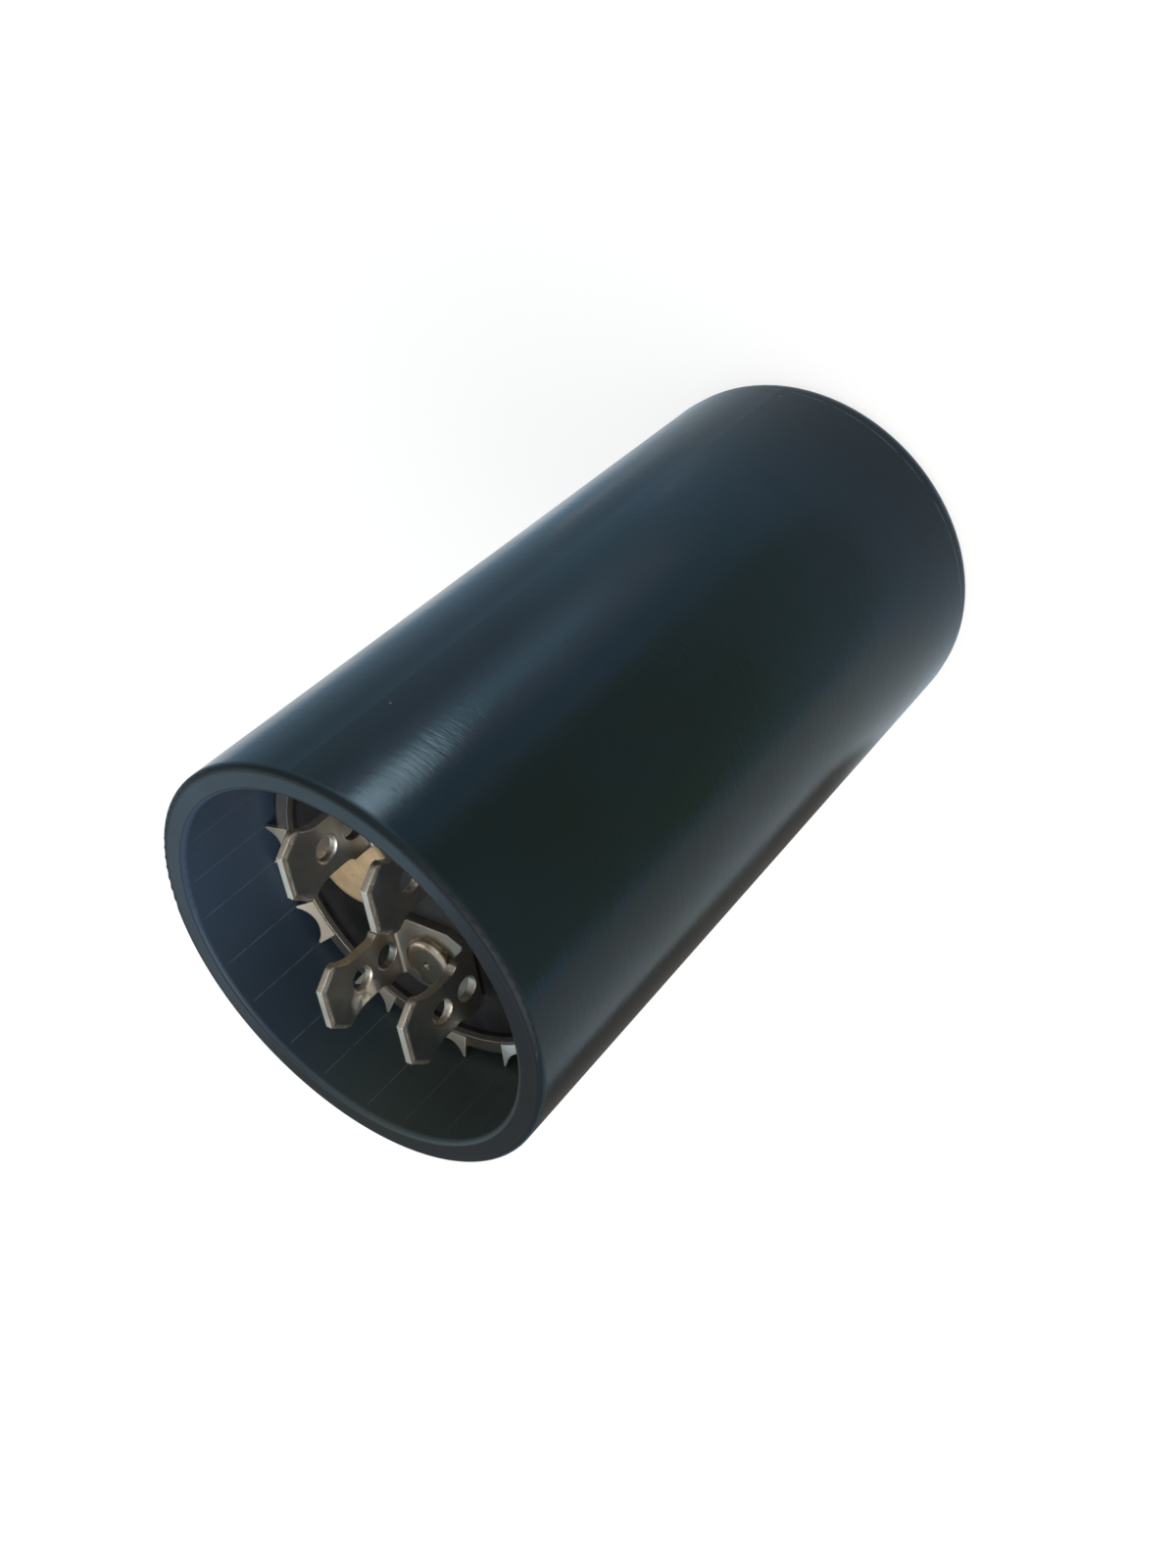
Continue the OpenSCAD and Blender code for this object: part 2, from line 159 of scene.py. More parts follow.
class Finish:
    """A node tree, of a new material or of one given, and the one method that adds nodes to it."""

    def __init__(self, name, tree=None):
        if tree is None:
            self.material = bpy.data.materials.new(name)
            self.material.use_nodes = True
            tree = self.material.node_tree
        self.tree = tree
        self.tree.nodes.clear()

    def node(self, kind, settings=None, inputs=None, out=0):
        """Adds a node. Its settings come first, then the values or wires of its sockets."""
        made = self.tree.nodes.new(kind)
        for name, value in (settings or {}).items():
            setattr(made, name, value)
        for key, value in (inputs or {}).items():
            if isinstance(value, Wire):
                self.tree.links.new(value.socket, made.inputs[key])
            else:
                made.inputs[key].default_value = value
        return Wire(self, made.outputs[out]) if len(made.outputs) else made

    def place(self):
        """Position on the piece, in millimetres of the shared frame."""
        raw = self.node("ShaderNodeTexCoord", out="Object")
        inputs = {0: raw, "Scale": 1 / MM}
        return self.node("ShaderNodeVectorMath", {"operation": "SCALE"}, inputs)

    def split(self, vector):
        """The three parts of a vector or colour."""
        parts = self.node("ShaderNodeSeparateXYZ", None, {0: vector})
        return [parts.output(axis) for axis in range(3)]

    def stretched(self, vector, scale, turn=(0.0, 0.0, 0.0)):
        """A position scaled along each axis, which draws a pattern out into lines."""
        inputs = {"Vector": vector, "Rotation": turn, "Scale": scale}
        return self.node("ShaderNodeMapping", {"vector_type": "POINT"}, inputs)

    def noise(self, vector, per_mm, detail=2.0, rough=0.5):
        """Soft noise from 0 to 1."""
        inputs = {"Vector": vector, "Scale": per_mm, "Detail": detail, "Roughness": rough}
        return self.node("ShaderNodeTexNoise", {"noise_dimensions": "3D"}, inputs)

    def specks(self, vector, per_mm, share, radius):
        """Round specks in a share of the cells, with a radius in cell widths."""
        inputs = {"Vector": vector, "Scale": per_mm}
        away = self.node("ShaderNodeTexVoronoi", None, inputs, out="Distance")
        chance, girth, _ = self.split(away.output("Color"))
        chosen = chance.step(share, share * 0.8)
        return chosen * (away / (girth * radius + radius * 0.3)).step(1.0, 0.6)

    def mixed(self, factor, first, second):
        """A colour between two others."""
        inputs = {0: factor, 6: opaque(first), 7: opaque(second)}
        return self.node("ShaderNodeMix", {"data_type": "RGBA"}, inputs, out=2)

    def either(self, factor, first, second):
        """A shader between two others."""
        return self.node("ShaderNodeMixShader", None, {0: factor, 1: first, 2: second})

    def glow(self, colour, strength=1.0):
        """A shader that shows a colour as it is written."""
        inputs = {"Color": opaque(colour), "Strength": strength}
        return self.node("ShaderNodeEmission", None, inputs)

    def rounded(self, radius_mm):
        """A normal that rounds the piece's sharp edges."""
        return self.node("ShaderNodeBevel", {"samples": 6}, {"Radius": radius_mm * MM})

    def bump(self, height, reach_mm, under=None):
        """A normal from a height of 0 to 1, which stands for reach_mm."""
        inputs = {"Height": height, "Distance": reach_mm * MM, "Strength": 1.0}
        if under is not None:
            inputs["Normal"] = under
        return self.node("ShaderNodeBump", None, inputs)

    def close(self, colour, **sockets):
        """Feeds the Principled shader and the output."""
        inputs = {name.replace("_", " "): value for name, value in sockets.items()}
        inputs["Base Color"] = opaque(colour)
        surface = self.node("ShaderNodeBsdfPrincipled", None, inputs)
        self.node("ShaderNodeOutputMaterial", None, {"Surface": surface})
        return self.material


def give(material, *nodes):
    """Puts a finish on CAD nodes."""
    for name in nodes:
        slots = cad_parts[name].data.materials
        slots.clear()
        slots.append(material)


def colour_property(name, description, default):
    return FloatVectorProperty(
        name=name,
        description=description,
        subtype="COLOR",
        size=3,
        min=0.0,
        max=1.0,
        default=default,
    )


def place_property(name, description, default):
    return FloatVectorProperty(
        name=name,
        description=description,
        subtype="TRANSLATION",
        unit="LENGTH",
        size=3,
        default=default,
    )


def power_property(name, description, default):
    return FloatProperty(
        name=name,
        description=description,
        subtype="POWER",
        unit="POWER",
        min=0.0,
        default=default,
    )


class CapacitorLooks(bpy.types.PropertyGroup):
    """Colours and gloss of the capacitor's finishes."""

    case_colour: colour_property(
        "Case", "Colour of the moulded phenolic case", (0.0045, 0.0075, 0.0085)
    )
    case_gloss: FloatProperty(
        name="Case roughness",
        description="Mean roughness of the case",
        subtype="FACTOR",
        min=0.02,
        max=1.0,
        default=0.19,
    )
    peel: FloatProperty(
        name="Orange peel",
        description="Depth of the moulded skin's shallow waves",
        subtype="DISTANCE",
        unit="LENGTH",
        min=0.0,
        max=0.0001,
        default=0.00002,
    )
    # The mouth's colour is a haze, made lighter and bluer with painted light
    bore_haze_and_painted_light: colour_property(
        "Mouth", "Colour of the hazy wall inside the case's mouth", (0.034, 0.056, 0.092)
    )
    disc_colour: colour_property("End disc", "Colour of the end disc", (0.011, 0.011, 0.012))
    plug_colour: colour_property("Vent plug", "Colour of the vent plug", (0.47, 0.343, 0.2))
    tin_colour: colour_property(
        "Tin plate", "Colour of the terminals' plating", (0.68, 0.685, 0.67)
    )
    ring_colour: colour_property(
        "Spring steel", "Colour of the retaining ring", (0.8, 0.74, 0.635)
    )


class CapacitorStage(bpy.types.PropertyGroup):
    """The camera, floor and lamps that show the capacitor."""

    camera_place: place_property(
        "Camera", "Place of the camera", (0.078887, -0.074861, 0.127554)
    )
    camera_aim: place_property(
        "Aim", "Point at the middle of the picture", (-0.00773, 0.004033, 0.033889)
    )
    camera_roll: FloatProperty(
        name="Roll",
        description="Turn of the camera about its line of sight",
        subtype="ANGLE",
        unit="ROTATION",
        default=math.radians(-133.2537),
    )
    lens: FloatProperty(
        name="Lens",
        description="Focal length on a sensor 36 mm long",
        subtype="DISTANCE_CAMERA",
        default=37.513,
    )
    floor_colour: colour_property("Floor", "Colour of the floor", (0.9, 0.9, 0.9))
    key_power: power_property(
        "Key lamp", "Power of the large soft lamp above the front left", 2.2
    )
    window_power: power_property(
        "Window lamp", "Power of the cool lamp behind, which the rim mirrors", 0.38
    )
    sky: FloatProperty(
        name="Sky",
        description="Strength of the light from all round",
        min=0.0,
        max=2.0,
        default=1.1,
    )


class CAPACITOR_OT_case(bpy.types.Operator):
    """Moulded phenolic on the case, with the ring's scratch tracks in its mouth"""

    bl_idname = "capacitor.finish_case"
    bl_label = "Finish the case"

    # Degrees between the ring's prongs, its turn, and half the angle between a prong's points
    PRONG_STEP = 30.0
    RING_TURN = 2.0
    POINT_HALF = 6.75

    SCUFF_COLOUR = (0.05, 0.06, 0.065)
    WORN_COLOUR = (0.06, 0.068, 0.072)
    WITNESS_COLOUR = (0.09, 0.1, 0.105)
    SCRAPED_COLOUR = (0.13, 0.14, 0.145)
    DUST_COLOUR = (0.3, 0.31, 0.3)

    def tracks(self, fin, x, y, z, place):
        """Fine lines that the ring's points scraped down the mouth's wall."""
        half = self.PRONG_STEP / 2
        turned = y.angle(x) + self.RING_TURN + half
        off_prong = (turned.wrapped(self.PRONG_STEP) - half).size()
        line = off_prong.near(self.POINT_HALF, 0.08, 0.16)
        above_ring = z.step(POINTS_Z - 0.6, POINTS_Z - 0.2)
        below_rim = z.step(RIM_Z - 0.5, RIM_Z - 1.1)
        broken = fin.noise(place, 0.9, detail=3.0).step(0.28, 0.5)
        return line * above_ring * below_rim * broken

    def wall_colour(self, fin, place, base):
        """Black that drifts between a deep and a cool cast."""
        deep = tinted(base, 0.75, 0.95, 0.8)
        cool = tinted(base, 1.1, 1.2, 1.5)
        return fin.mixed(fin.noise(place, 0.05, detail=3.0).step(0.35, 0.65), deep, cool)

    def bore_haze_and_painted_light(self, fin, x, y, base):
        """Haze inside the mouth, with painted light: bluest on its far side, where light falls,
        and dull on the near one.
        """
        dim = tinted(base, 0.6, 0.6, 0.54)
        dull = tinted(base, 1.12, 0.93, 0.54)
        # Painted light: lightest and bluest towards the far side, dimmer in the middle and warmer
        # on the near side
        across = x * 0.5 + y * 0.866
        hazy_with_painted_light = fin.mixed(across.step(6.0, 16.5), dim, base)
        return fin.mixed(across.step(5.0, -9.0), hazy_with_painted_light, dull)

    def execute(self, context):
        looks = context.scene.capacitor_looks
        fin = Finish("case_phenolic")
        place = fin.place()
        x, y, z = fin.split(place)
        radius = length(x, y)
        inside = radius.step(MOUTH_R + 0.55, MOUTH_R + 0.2)
        tracks = self.tracks(fin, x, y, z, place) * inside
        faint = fin.noise(place, 0.5, detail=3.0).step(0.3, 0.6)
        witness = z.near(WITNESS_Z, 0.02, 0.07) * faint
        nicks = fin.noise(place, 1.6, detail=4.0, rough=0.65).step(0.62, 0.74)
        base_edge = z.step(1.1, 0.35) * radius.step(CASE_R - 1.4, CASE_R - 0.7)
        worn = nicks * base_edge
        dust = fin.specks(place, 0.22, share=0.16, radius=0.03)
        rubs = fin.stretched(place, (3.2, 0.16, 0.3), turn=(0.5, 0.3, 0.9))
        scuffs = fin.noise(rubs, 1.0, detail=4.0, rough=0.6).step(0.72, 0.8)

        colour = self.wall_colour(fin, place, looks.case_colour)
        # Inside the mouth: the haze with its painted light
        colour = fin.mixed(inside, colour, self.bore_haze_and_painted_light(fin, x, y, looks.bore_haze_and_painted_light))
        colour = fin.mixed(scuffs * 0.12, colour, self.SCUFF_COLOUR)
        colour = fin.mixed(worn * 0.15, colour, self.WORN_COLOUR)
        colour = fin.mixed(witness * 0.8, colour, self.WITNESS_COLOUR)
        colour = fin.mixed(tracks * 0.4, colour, self.SCRAPED_COLOUR)
        colour = fin.mixed(dust * 0.25, colour, self.DUST_COLOUR)

        haze = fin.noise(place, 0.16, detail=4.0, rough=0.6).step(0.3, 0.75)
        rim_edge = z.step(RIM_Z - 0.8, RIM_Z - 0.35) * radius.step(CASE_R - 0.75, CASE_R - 0.35)
        rough = looks.case_gloss - 0.05 + haze * 0.08 + inside * 0.2 + rim_edge * 0.28
        rough = rough + worn * 0.15 + scuffs * 0.1 + tracks * 0.2 + dust * 0.3

        peel = fin.noise(place, 0.6, detail=3.0) - 0.5
        grain = fin.noise(fin.stretched(place, (0.5, 0.5, 2.6)), 1.0, detail=3.0, rough=0.6) - 0.5
        waves = (peel * 0.6 + grain * 0.8) * z.step(RIM_Z - 0.35, RIM_Z - 1.3)
        skin = fin.bump(waves, looks.peel / MM)
        marks = fin.bump(1 - worn * 0.2 - tracks * 0.5, 0.012, skin)
        phenolic = fin.close(
            colour, Roughness=rough, IOR=1.5, Specular_IOR_Level=0.2, Normal=marks
        )
        give(phenolic, "case")
        return {"FINISHED"}


class CAPACITOR_OT_disc(bpy.types.Operator):
    """Dull phenolic on the end disc, and rubber on the gasket below it"""

    bl_idname = "capacitor.finish_disc"
    bl_label = "Finish the end disc"

    DUST_COLOUR = (0.16, 0.14, 0.12)
    RUBBER_DARK = (0.012, 0.012, 0.012)
    RUBBER_LIGHT = (0.03, 0.03, 0.029)

    def phenolic(self, base):
        fin = Finish("disc_phenolic")
        place = fin.place()
        cloud = fin.noise(place, 0.25, detail=4.0, rough=0.6)
        grain = fin.noise(place, 3.0, detail=3.0, rough=0.6)
        dust = fin.specks(place, 0.8, share=0.3, radius=0.09)
        colour = fin.mixed(cloud.step(0.35, 0.7), base, tinted(base, 1.9, 1.9, 1.9))
        colour = fin.mixed(dust * 0.6, colour, self.DUST_COLOUR)
        rough = 0.36 + cloud * 0.2 + dust * 0.3
        skin = fin.bump(grain, 0.012)
        return fin.close(colour, Roughness=rough, Specular_IOR_Level=0.3, Normal=skin)

    def rubber(self):
        fin = Finish("seal_rubber")
        place = fin.place()
        cloud = fin.noise(place, 0.6, detail=4.0)
        colour = fin.mixed(cloud, self.RUBBER_DARK, self.RUBBER_LIGHT)
        skin = fin.bump(fin.noise(place, 5.0, detail=3.0), 0.015)
        return fin.close(colour, Roughness=0.6 + cloud * 0.25, Normal=skin)

    def execute(self, context):
        give(self.phenolic(context.scene.capacitor_looks.disc_colour), "end_disc")
        give(self.rubber(), "seal_gasket")
        return {"FINISHED"}


class CAPACITOR_OT_vent(bpy.types.Operator):
    """Speckled tan on the vent plug, with grime round its edge, and patchy darker towards its far
    side
    """

    bl_idname = "capacitor.finish_vent"
    bl_label = "Finish the vent plug"

    SPECK_COLOUR = (0.03, 0.022, 0.016)
    EDGE_GRIME = (0.05, 0.038, 0.027)
    FAR_SIDE_DARK = (0.075, 0.07, 0.062)

    def execute(self, context):
        base = context.scene.capacitor_looks.plug_colour
        fin = Finish("vent_rubber")
        place = fin.place()
        x, y, _ = fin.split(place)
        x, y = x - PLUG_MID.x, y - PLUG_MID.y
        cloud = fin.noise(place, 0.45, detail=4.0, rough=0.6)
        specks = fin.specks(place, 1.1, share=0.34, radius=0.12)
        dark, light = tinted(base, 0.82, 0.82, 0.82), tinted(base, 1.1, 1.1, 1.1)
        colour = fin.mixed(cloud.step(0.3, 0.7), dark, light)
        colour = fin.mixed(specks * 0.9, colour, self.SPECK_COLOUR)
        rim = length(x, y).step(PLUG_R - 0.6, PLUG_R + 0.05)
        colour = fin.mixed(rim * 0.55, colour, self.EDGE_GRIME)
        # Patchy and darker towards the plug's far side
        far_side = x * 0.8 + y * 0.6
        patchy = (fin.noise(place, 1.5, detail=4.0, rough=0.65) - 0.5) * 2.0
        far_side_darkening = (far_side + patchy).step(0.2, 2.3)
        colour = fin.mixed(far_side_darkening * 0.88, colour, self.FAR_SIDE_DARK)
        rough = 0.42 + cloud * 0.2
        skin = fin.bump(fin.noise(place, 2.2, detail=4.0, rough=0.6) - specks * 0.6, 0.02)
        tan = fin.close(colour, Roughness=rough, Specular_IOR_Level=0.4, Normal=skin)
        give(tan, "vent_plug")
        return {"FINISHED"}


SPOT_COLOUR = (0.16, 0.14, 0.11)
PLATED_ROUGH = 0.28


def plating(fin, place, base, tarnish_z, brush, edge_mm, dent_mm):
    """Colour, roughness and normal of plated sheet: rolling lines, and tarnish below a height."""
    _, _, z = fin.split(place)
    lines = fin.noise(fin.stretched(place, brush), 1.0, detail=3.0, rough=0.6)
    cloud = fin.noise(place, 0.33, detail=4.0, rough=0.6)
    blush = fin.noise(place, 0.5)
    spots = fin.specks(place, 1.3, share=0.16, radius=0.08)
    blotch = fin.noise(place, 0.8, detail=4.0, rough=0.6)
    low = z.step(tarnish_z + 1.5, tarnish_z) * blotch.step(0.1, 0.42)
    colour = fin.mixed(cloud.step(0.5, 0.68) * 0.7, base, tinted(base, 1.08, 0.97, 0.76))
    colour = fin.mixed(blush.step(0.52, 0.68) * 0.5, colour, tinted(base, 1.02, 0.92, 0.88))
    colour = fin.mixed(low * 0.75, colour, tinted(base, 0.36, 0.31, 0.24))
    colour = fin.mixed(spots * 0.5, colour, SPOT_COLOUR)
    dull = lines * 0.03 + cloud.step(0.4, 0.8) * 0.05 + spots * 0.2 + low * 0.08
    dented = fin.bump(fin.noise(place, 0.24, detail=1.0), dent_mm, fin.rounded(edge_mm))
    height = lines * 0.4 + fin.noise(place, 0.9) * 0.6
    return colour, PLATED_ROUGH + dull, fin.bump(height, 0.0016, dented)


class CAPACITOR_OT_ring(bpy.types.Operator):
    """Bright spring steel on the retaining ring"""

    bl_idname = "capacitor.finish_ring"
    bl_label = "Finish the retaining ring"

    def execute(self, context):
        base = context.scene.capacitor_looks.ring_colour
        fin = Finish("spring_steel")
        place = fin.place()
        colour, rough, skin = plating(
            fin, place, base, RING_Z - 2.0, brush=(1.2, 1.2, 6.0), edge_mm=0.07, dent_mm=0.08
        )
        steel = fin.close(colour, Metallic=1.0, Roughness=rough, Normal=skin)
        give(steel, "retaining_ring")
        return {"FINISHED"}


class CAPACITOR_OT_terminals(bpy.types.Operator):
    """Tin plate on the folded terminals, dulled at the folds, with bare sheared edges and a worn
    patch painted bright gold as a glint
    """

    bl_idname = "capacitor.finish_terminals"
    bl_label = "Finish the terminals"

    CUT_COLOUR = (0.47, 0.425, 0.345)
    TORN_COLOUR = (0.34, 0.28, 0.24)
    RUBBED_GLINT_COLOUR = (0.78, 0.69, 0.48)
    # Place of the worn patch on the left terminal's back tab, which is painted bright gold as a
    # glint
    GLINT_X = -8.0
    GLINT_Z = 65.0

    def execute(self, context):
        base = context.scene.capacitor_looks.tin_colour
        fin = Finish("plated_sheet")
        place = fin.place()
        x, y, z = fin.split(place)
        colour, rough, skin = plating(
            fin, place, base, PLATE_Z + 2.6, brush=(3.0, 3.0, 0.4), edge_mm=0.2, dent_mm=0.25
        )
        from_front = (y - (FRONT_TAB_Y + SHEET / 2)).size()
        from_back = (y - (BACK_TAB_Y - SHEET / 2)).size()
        within = from_front.smaller(from_back)
        upright = z.step(PLATE_Z + 2.2, PLATE_Z + 2.6)
        cut = within.step(SHEET * 0.48, SHEET * 0.4) * upright
        sheared = cut * z.step(TIP_Z - 0.04, TIP_Z - 0.2)
        torn = sheared * fin.noise(place, 3.2, detail=3.0, rough=0.7).step(0.42, 0.6)
        spread = length(x - self.GLINT_X, z - self.GLINT_Z).step(2.0, 0.4)
        face = y.near(BACK_TAB_Y - SHEET, 0.05, 0.1)
        patchy = fin.noise(place, 1.3, detail=4.0, rough=0.7).step(0.36, 0.6)
        rubbed_glint = spread * face * patchy
        colour = fin.mixed(cut * 0.85, colour, self.CUT_COLOUR)
        colour = fin.mixed(torn * 0.4, colour, self.TORN_COLOUR)
        # Painted glint: the worn patch is bright gold and barely metallic
        colour = fin.mixed(rubbed_glint * 0.9, colour, self.RUBBED_GLINT_COLOUR)
        tin = fin.close(
            colour,
            Metallic=1 - rubbed_glint * 0.75,
            Roughness=rough + cut * 0.1 + torn * 0.15,
            Normal=fin.bump(1 - torn, 0.012, skin),
        )
        give(tin, "terminal_left", "terminal_right")
        return {"FINISHED"}


class CAPACITOR_OT_rivets(bpy.types.Operator):
    """Satin plated steel on the rivets and washers, worn bright at the heads' edges, partly as a
    painted highlight
    """

    bl_idname = "capacitor.finish_rivets"
    bl_label = "Finish the rivets"

    RUBBED_GLINT_COLOUR = (0.66, 0.55, 0.45)

    def execute(self, context):
        base = tinted(context.scene.capacitor_looks.tin_colour, 0.37, 0.345, 0.28)
        fin = Finish("rivet_steel")
        place = fin.place()
        x, y, _ = fin.split(place)
        colour, rough, skin = plating(
            fin, place, base, PLATE_Z + 1.2, brush=(2.5, 2.5, 2.5), edge_mm=0.1, dent_mm=0.12
        )
        off_left, off_right = (length(x - mid.x, y - mid.y) for mid in RIVET_MIDS)
        head_edge = off_left.smaller(off_right).step(HEAD_R * 0.62, HEAD_R * 0.9)
        # The heads' bright edges are partly wear and partly a painted highlight
        rubbed_glint = head_edge * fin.noise(place, 0.45, detail=3.0).step(0.4, 0.58)
        colour = fin.mixed(rubbed_glint * 0.8, colour, self.RUBBED_GLINT_COLOUR)
        steel = fin.close(colour, Metallic=1.0, Roughness=rough, Normal=skin)
        give(steel, "rivet_left", "rivet_right", "rivet_washer_left", "rivet_washer_right")
        return {"FINISHED"}


class CAPACITOR_OT_winding(bpy.types.Operator):
    """Foil, paper and card on the pieces that the case hides"""

    bl_idname = "capacitor.finish_winding"
    bl_label = "Finish the winding"

    FOIL_COLOUR = (0.42, 0.4, 0.37)
    STRIP_DARK = (0.62, 0.62, 0.63)
    STRIP_LIGHT = (0.74, 0.74, 0.74)

    def fibre(self, name, light, dark, turns_per_mm=0.0):
        """Paper or card: long fibres, and wound layers of foil where there are turns."""
        fin = Finish(name)
        place = fin.place()
        fibres = fin.noise(fin.stretched(place, (4.0, 4.0, 0.8)), 1.0, detail=4.0, rough=0.65)
        stain = fin.noise(place, 0.12, detail=3.0)
        colour = fin.mixed(fibres.step(0.3, 0.7), dark, light)
        colour = fin.mixed(stain.step(0.5, 0.75) * 0.5, colour, tinted(dark, 0.6, 0.6, 0.6))
        height = fibres * 0.5
        if turns_per_mm:
            x, y, _ = fin.split(place)
            turns = (length(x, y) * turns_per_mm).wrapped(1.0).near(0.5, 0.1, 0.3)
            colour = fin.mixed(turns * 0.5, colour, self.FOIL_COLOUR)
            height = height + turns * 0.5
        skin = fin.bump(height, 0.03)
        return fin.close(colour, Roughness=0.75 + stain * 0.2, Normal=skin)

    def strip(self):
        """Bare aluminium strip with rolling lines."""
        fin = Finish("lead_aluminium")
        place = fin.place()
        lines = fin.noise(fin.stretched(place, (0.6, 9.0, 0.6)), 1.0)
        cloud = fin.noise(place, 0.8, detail=3.0)
        colour = fin.mixed(cloud, self.STRIP_DARK, self.STRIP_LIGHT)
        skin = fin.bump(lines, 0.004)
        return fin.close(colour, Metallic=1.0, Roughness=0.3 + lines * 0.15, Normal=skin)

    def execute(self, context):
        roll = self.fibre("soaked_paper", (0.4, 0.3, 0.18), (0.27, 0.19, 0.1), turns_per_mm=4.0)
        sleeve = self.fibre("wrap_paper", (0.52, 0.4, 0.25), (0.4, 0.3, 0.17))
        card = self.fibre("card", (0.46, 0.35, 0.21), (0.34, 0.25, 0.14))
        give(roll, "wound_element")
        give(sleeve, "element_wrap")
        give(card, "top_insulator", "base_pad")
        give(self.strip(), "lead_tab_left", "lead_tab_right")
        return {"FINISHED"}


class Card(NamedTuple):
    """A patch of the floor that only mirrors show. Its corners run anticlockwise."""

    colour: tuple
    soft_edge: float
    corners: tuple


# Later cards lie on earlier ones. Left and right are those of someone who stands at the camera
CARDS = (
    # Pale card on the left
    Card((0.81, 0.92, 0.97), 4, ((-14, -13), (-180, 100), (-80, -180), (0, -29))),
    # Dark card behind it
    Card((0.17, 0.155, 0.14), 3, ((-30, -24), (-20, -9), (-170, 115), (-190, -60))),
    # Grey card in front on the left, and a darker one on its outer part
    Card((0.44, 0.66, 0.78), 5, ((-2, -34), (-65, -185), (175, -80), (30, -17))),
    Card((0.33, 0.48, 0.32), 7, ((-10, -60), (-55, -190), (170, -95), (55, -32))),
    # Cool grey card on the right
    Card((0.48, 0.7, 0.92), 6, ((60, 20), (175, 85), (140, 140), (50, 40))),
    # Light in front on the right: its halo, its tail and its core
    Card((0.85, 1.15, 1.55), 8, ((45, -10), (190, -25), (180, 75), (45, 10))),
    Card((1.1, 2.0, 2.7), 6, ((62, -2), (110, 0), (105, 25), (60, 8))),
    Card((7.0, 10.0, 12.0), 8, ((107, -8), (195, -8), (190, 40), (104, 17))),
    # Cool dim card on the right, further back, and a pale one behind it
    Card((0.35, 0.55, 0.74), 2, ((19, 2), (120, 155), (-10, 205), (17, 9))),
    Card((0.78, 0.88, 0.96), 1.5, ((16, 9), (-15, 205), (-155, 145), (12, 14))),
    # Two narrow slips close to the case on the right
    Card((0.62, 0.75, 0.9), 0.8, ((21, 17), (26, 38), (22, 39), (19, 18))),
    Card((0.8, 1.1, 1.4), 0.6, ((29, 8), (36, 14), (35, 16), (29, 10))),
)


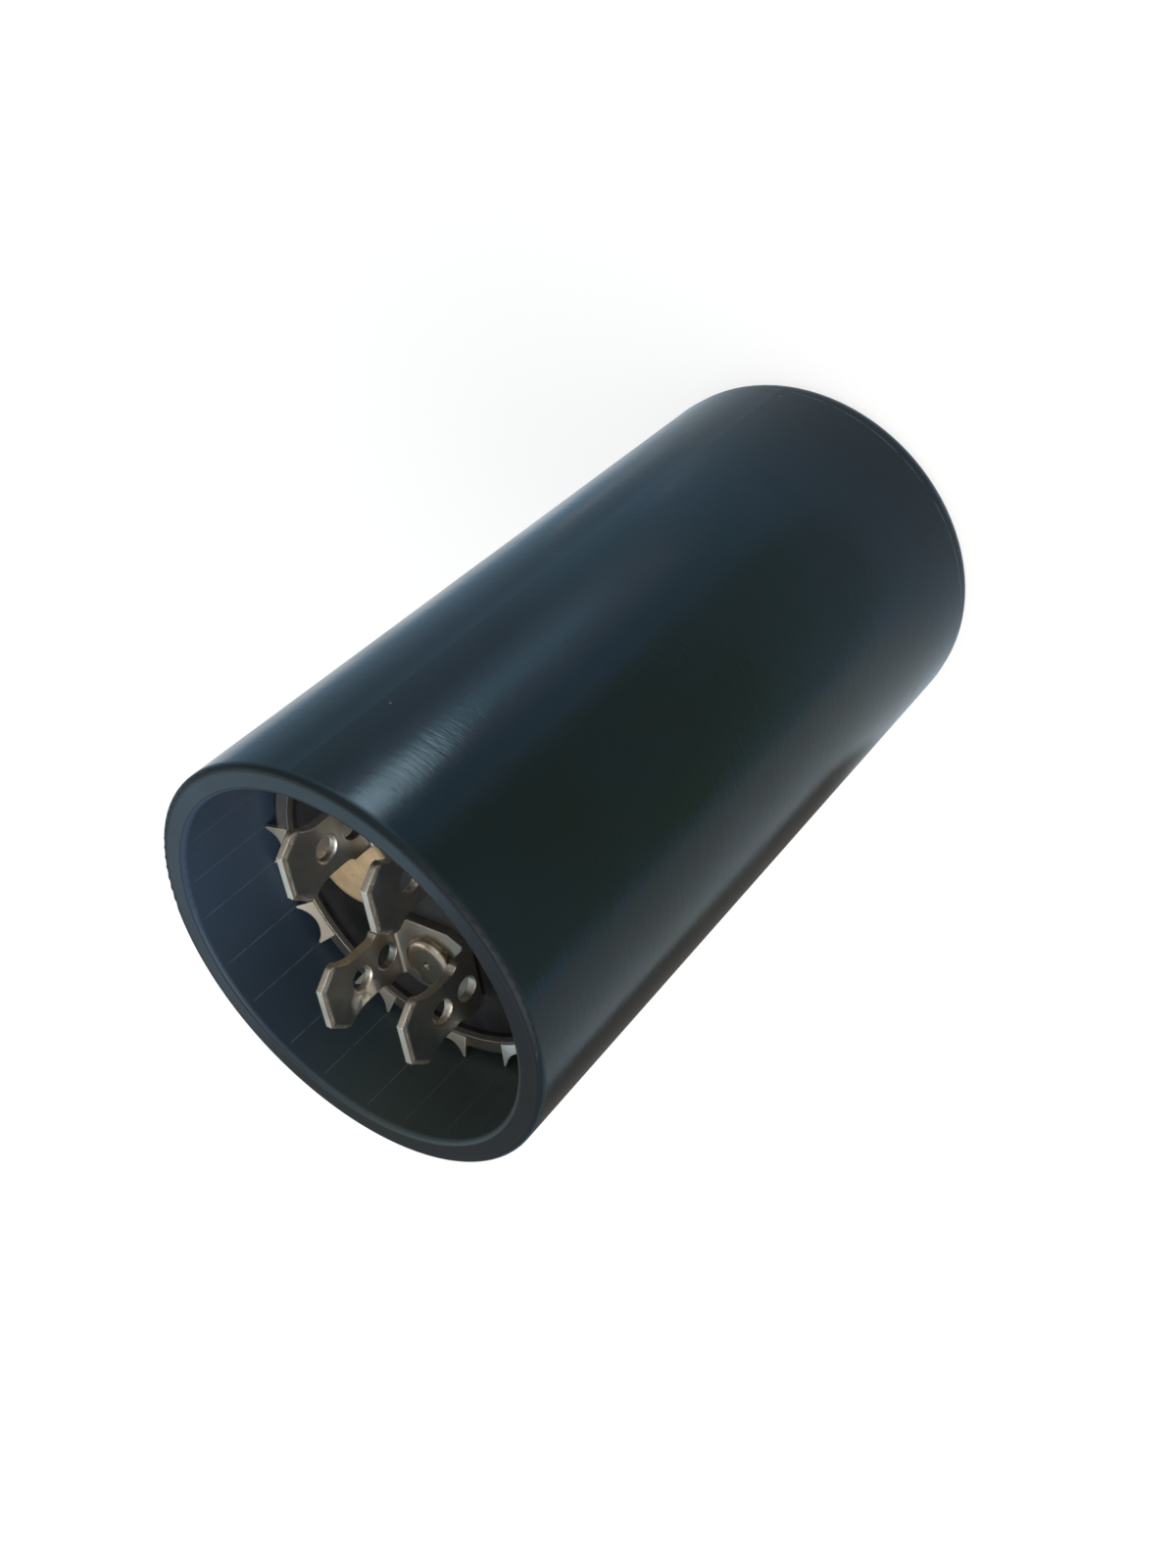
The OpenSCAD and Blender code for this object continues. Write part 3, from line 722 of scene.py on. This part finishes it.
class CAPACITOR_OT_stage(bpy.types.Operator):
    """White floor with cards that only mirrors show, soft lamps, sky and the camera"""

    bl_idname = "capacitor.add_stage"
    bl_label = "Add the stage"

    # The sensor is in millimetres, the nearest distance shown and half the floor's side in metres
    SENSOR_LENGTH = 36.0
    CLIP_START = 0.005
    FLOOR_HALF = 4.0

    # The camera sees the floor's own glow, mixed with the lit floor and the shadow on it
    FLOOR_GLOW = 1.08
    GLOW_SHARE = 0.75
    # The floor between the cards, and close to the case
    FLOOR_MIRRORED = (0.5, 0.86, 1.2)
    BESIDE_CASE = (0.58, 0.67, 0.74)

    # The sky is brightest towards this side
    BRIGHT_SIDE = Vector((0.725, -0.688))
    SKY_BRIGHT = (1.0, 0.99, 0.96)
    SKY_LOW = (0.31, 0.3, 0.29)
    SKY_HIGH = (0.44, 0.45, 0.46)

    def link(self, name, data, place, turn):
        """Adds an object to the scene, at a place in metres."""
        made = bpy.data.objects.new(name, data)
        made.matrix_world = Matrix.LocRotScale(place, turn, None)
        bpy.context.scene.collection.objects.link(made)
        return made

    def camera(self, stage):
        lens = bpy.data.cameras.new("camera")
        lens.lens = stage.lens
        lens.sensor_width = self.SENSOR_LENGTH
        lens.clip_start = self.CLIP_START
        place, aim = Vector(stage.camera_place), Vector(stage.camera_aim)
        roll = Quaternion((0, 0, 1), stage.camera_roll)
        turn = (aim - place).to_track_quat("-Z", "Y") @ roll
        bpy.context.scene.camera = self.link("camera", lens, place, turn)

    def lamp(self, name, power, colour, place, aim, size):
        light = bpy.data.lights.new(name, "AREA")
        light.shape = "RECTANGLE"
        light.size, light.size_y = (side * MM for side in size)
        light.energy = power
        light.color = colour
        place, aim = Vector(place) * MM, Vector(aim) * MM
        lamp = self.link(name, light, place, (aim - place).to_track_quat("-Z", "Y"))
        lamp.visible_camera = False

    def covered(self, x, y, card):
        """1 on a card and 0 past its soft edge."""
        sides = []
        for start, end in zip(card.corners, card.corners[1:] + card.corners[:1]):
            along = (Vector(end) - Vector(start)).normalized()
            inward = (y - start[1]) * along.x - (x - start[0]) * along.y
            sides.append(inward.step(-card.soft_edge, card.soft_edge))
        return math.prod(sides)

    def mirrored_floor(self, fin, x, y, radius):
        """What the glossy case mirrors: a cool floor with the cards on it."""
        surface = fin.glow(self.FLOOR_MIRRORED)
        for card in CARDS:
            surface = fin.either(self.covered(x, y, card), surface, fin.glow(card.colour))
        beside = radius.step(CASE_R + 20.0, CASE_R + 2.0) * 0.85
        return fin.either(beside, surface, fin.glow(self.BESIDE_CASE))

    def floor_finish(self, stage):
        fin = Finish("floor_white")
        x, y, _ = fin.split(fin.place())
        radius = length(x, y)
        seen = fin.node("ShaderNodeLightPath", out="Is Camera Ray")
        mirrored = seen.output("Is Glossy Ray").larger(seen.output("Is Transmission Ray"))
        lit = fin.node("ShaderNodeBsdfDiffuse", None, {"Color": opaque(stage.floor_colour)})
        far = radius.step(200.0, 700.0) * (1 - self.GLOW_SHARE)
        white = fin.either(seen * (self.GLOW_SHARE + far), lit, fin.glow(WHITE, self.FLOOR_GLOW))
        surface = fin.either(mirrored, white, self.mirrored_floor(fin, x, y, radius))
        fin.node("ShaderNodeOutputMaterial", None, {"Surface": surface})
        fin.material.cycles.emission_sampling = "NONE"
        return fin.material

    def floor(self, stage):
        shape = bmesh.new()
        bmesh.ops.create_grid(shape, x_segments=4, y_segments=4, size=self.FLOOR_HALF)
        mesh = bpy.data.meshes.new("floor")
        shape.to_mesh(mesh)
        shape.free()
        mesh.materials.append(self.floor_finish(stage))
        floor = bpy.data.objects.new("floor", mesh)
        bpy.context.scene.collection.objects.link(floor)

    def sky(self, stage):
        world = bpy.data.worlds.new("sky")
        world.use_nodes = True
        bpy.context.scene.world = world
        fin = Finish("sky", world.node_tree)
        x, y, up = fin.split(fin.node("ShaderNodeTexCoord", out="Generated"))
        back = fin.mixed(up.step(0.3, 0.7), self.SKY_LOW, self.SKY_HIGH)
        front = x * self.BRIGHT_SIDE.x + y * self.BRIGHT_SIDE.y
        colour = fin.mixed(front.step(0.1, 0.9), back, self.SKY_BRIGHT)
        light = fin.node("ShaderNodeBackground", None, {"Color": colour, "Strength": stage.sky})
        white = fin.node("ShaderNodeBackground", None, {"Color": opaque(WHITE), "Strength": 1.0})
        seen = fin.node("ShaderNodeLightPath", out="Is Camera Ray")
        surface = fin.either(seen, light, white)
        fin.node("ShaderNodeOutputWorld", None, {"Surface": surface})

    def execute(self, context):
        stage = context.scene.capacitor_stage
        context.scene.view_settings.view_transform = "Standard"
        self.camera(stage)
        self.floor(stage)
        self.sky(stage)
        self.lamp(
            "key",
            power=stage.key_power,
            colour=(1.0, 0.98, 0.95),
            place=(-56, -316, 519),
            aim=(0, 0, 60),
            size=(420, 420),
        )
        self.lamp(
            "window",
            power=stage.window_power,
            colour=(0.47, 0.76, 1.0),
            place=(-168, 344, 391),
            aim=(0, 0, 70),
            size=(330, 268),
        )
        return {"FINISHED"}


class CAPACITOR_PT_panel(bpy.types.Panel):
    """Finishes and stage of the capacitor"""

    bl_idname = "CAPACITOR_PT_panel"
    bl_label = "Motor start capacitor"
    bl_space_type = "VIEW_3D"
    bl_region_type = "UI"
    bl_category = "Capacitor"

    def draw(self, context):
        for group in (context.scene.capacitor_looks, context.scene.capacitor_stage):
            column = self.layout.column(align=True)
            for name in group.__annotations__:
                column.prop(group, name)
        for step in STEPS:
            self.layout.operator(step.bl_idname)


STEPS = (
    CAPACITOR_OT_stage,
    CAPACITOR_OT_case,
    CAPACITOR_OT_disc,
    CAPACITOR_OT_vent,
    CAPACITOR_OT_ring,
    CAPACITOR_OT_terminals,
    CAPACITOR_OT_rivets,
    CAPACITOR_OT_winding,
)
CLASSES = (CapacitorLooks, CapacitorStage, *STEPS, CAPACITOR_PT_panel)


def register():
    for cls in CLASSES:
        bpy.utils.register_class(cls)
    bpy.types.Scene.capacitor_looks = PointerProperty(type=CapacitorLooks)
    bpy.types.Scene.capacitor_stage = PointerProperty(type=CapacitorStage)


def unregister():
    del bpy.types.Scene.capacitor_stage
    del bpy.types.Scene.capacitor_looks
    for cls in reversed(CLASSES):
        bpy.utils.unregister_class(cls)


def main():
    register()
    bpy.ops.capacitor.add_stage()
    bpy.ops.capacitor.finish_case()
    bpy.ops.capacitor.finish_disc()
    bpy.ops.capacitor.finish_vent()
    bpy.ops.capacitor.finish_ring()
    bpy.ops.capacitor.finish_terminals()
    bpy.ops.capacitor.finish_rivets()
    bpy.ops.capacitor.finish_winding()


if __name__ == "__main__":
    main()
